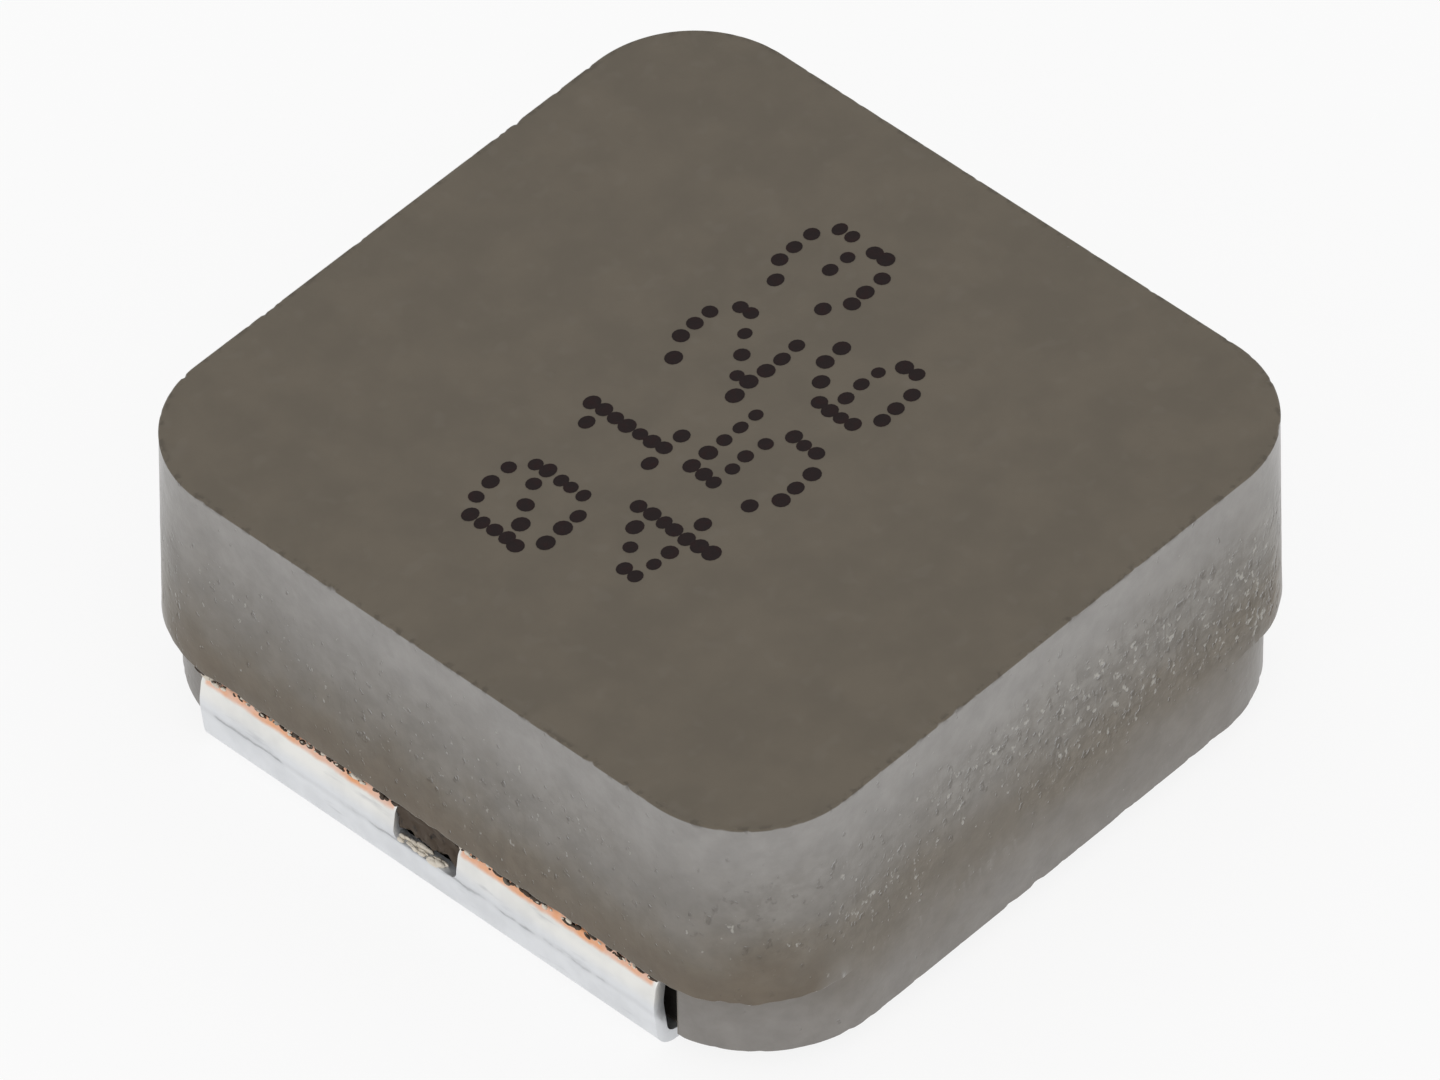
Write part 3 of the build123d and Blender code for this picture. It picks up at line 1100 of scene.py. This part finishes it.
SOFTBOXES = (("left_softbox", (-0.42, -0.05, 0.16), 0.22), ("right_softbox", (0.05, -0.42, 0.16), 0.2))
SOFTBOX_SIZE = 0.3
SOFTBOX_AIM = (0, 0, 0.003)


def add_softbox(name, place, power):
    """Square area lamp that faces the part."""
    lamp = bpy.data.lights.new(name, "AREA")
    lamp.size = SOFTBOX_SIZE
    lamp.energy = power
    box = add_object(name, lamp)
    box.location = place
    box.rotation_euler = (Vector(place) - Vector(SOFTBOX_AIM)).to_track_quat("Z", "Y").to_euler()


class INDUCTOR_OT_stage(bpy.types.Operator):
    """Set the floor, the light and the camera"""
    bl_idname = "inductor.set_stage"
    bl_label = "Stage"

    def execute(self, context):
        stage = context.scene.inductor.stage
        self.add_floor(stage)
        self.add_light(stage)
        self.add_camera(stage)
        context.scene.view_settings.view_transform = "Standard"
        return {"FINISHED"}

    def add_floor(self, stage):
        """White floor that keeps a faint shadow."""
        bm = bmesh.new()
        bmesh.ops.create_grid(bm, x_segments=4, y_segments=4, size=stage.floor_size / 2)
        floor = mesh_object("floor", bm)
        material, tree, shader = new_material("pale_floor")
        fill(tree, shader, {"Base Color": (0.9, 0.9, 0.9, 1.0), "Roughness": 0.9})
        white = white_for_lens(tree, shader.outputs[0], stage.shadow)
        fill(tree, tree.nodes["Material Output"], {"Surface": white})
        floor.data.materials.append(material)

    def add_light(self, stage):
        """Light from all round and two softboxes."""
        world = bpy.data.worlds.new("studio")
        bpy.context.scene.world = world
        world.use_nodes = True
        tree = world.node_tree
        soft = tree.nodes["Background"]
        fill(tree, soft, {"Color": (1, 1, 1, 1), "Strength": stage.ambient})
        white = white_for_lens(tree, soft.outputs[0], 0.0)
        fill(tree, tree.nodes["World Output"], {"Surface": white})
        for softbox in SOFTBOXES:
            add_softbox(*softbox)

    def add_camera(self, stage):
        """Camera in the place that the photo was taken from."""
        lens = bpy.data.cameras.new("camera")
        lens.sensor_width = 36.0
        lens.lens = stage.lens
        camera = add_object("camera", lens)
        level = Matrix.Rotation(stage.azimuth, 4, "Z") @ Matrix.Rotation(pi / 2 - stage.elevation, 4, "X")
        eye = level @ Vector((stage.aim_right, stage.aim_up, stage.distance))
        camera.matrix_world = Matrix.Translation(eye) @ level @ Matrix.Rotation(stage.roll, 4, "Z")
        bpy.context.scene.camera = camera


class INDUCTOR_PT_panel(bpy.types.Panel):
    """Steps and settings of the part"""
    bl_idname = "INDUCTOR_PT_panel"
    bl_label = "Moulded Inductor"
    bl_space_type = "VIEW_3D"
    bl_region_type = "UI"
    bl_category = "Inductor"

    def draw(self, context):
        groups = context.scene.inductor
        for step in STEPS:
            self.layout.operator(step.bl_idname)
        for group in (groups.body, groups.strips, groups.crumbs, groups.ink, groups.stage):
            box = self.layout.box()
            for name in group.__annotations__:
                box.prop(group, name)


STEPS = (INDUCTOR_OT_body, INDUCTOR_OT_strips, INDUCTOR_OT_crumbs, INDUCTOR_OT_print, INDUCTOR_OT_coil,
         INDUCTOR_OT_stage)
GROUPS = (BodySettings, StripSettings, CrumbSettings, PrintSettings, StageSettings, InductorSettings)
CLASSES = (*GROUPS, *STEPS, INDUCTOR_PT_panel)


def register():
    for item in CLASSES:
        bpy.utils.register_class(item)
    bpy.types.Scene.inductor = PointerProperty(type=InductorSettings)


def unregister():
    del bpy.types.Scene.inductor
    for item in reversed(CLASSES):
        bpy.utils.unregister_class(item)


def main():
    """Builds the part and its stage."""
    register()
    bpy.ops.inductor.make_body()
    bpy.ops.inductor.make_strips()
    bpy.ops.inductor.make_crumbs()
    bpy.ops.inductor.make_print()
    bpy.ops.inductor.dress_coil()
    bpy.ops.inductor.set_stage()


if __name__ == "__main__":
    main()
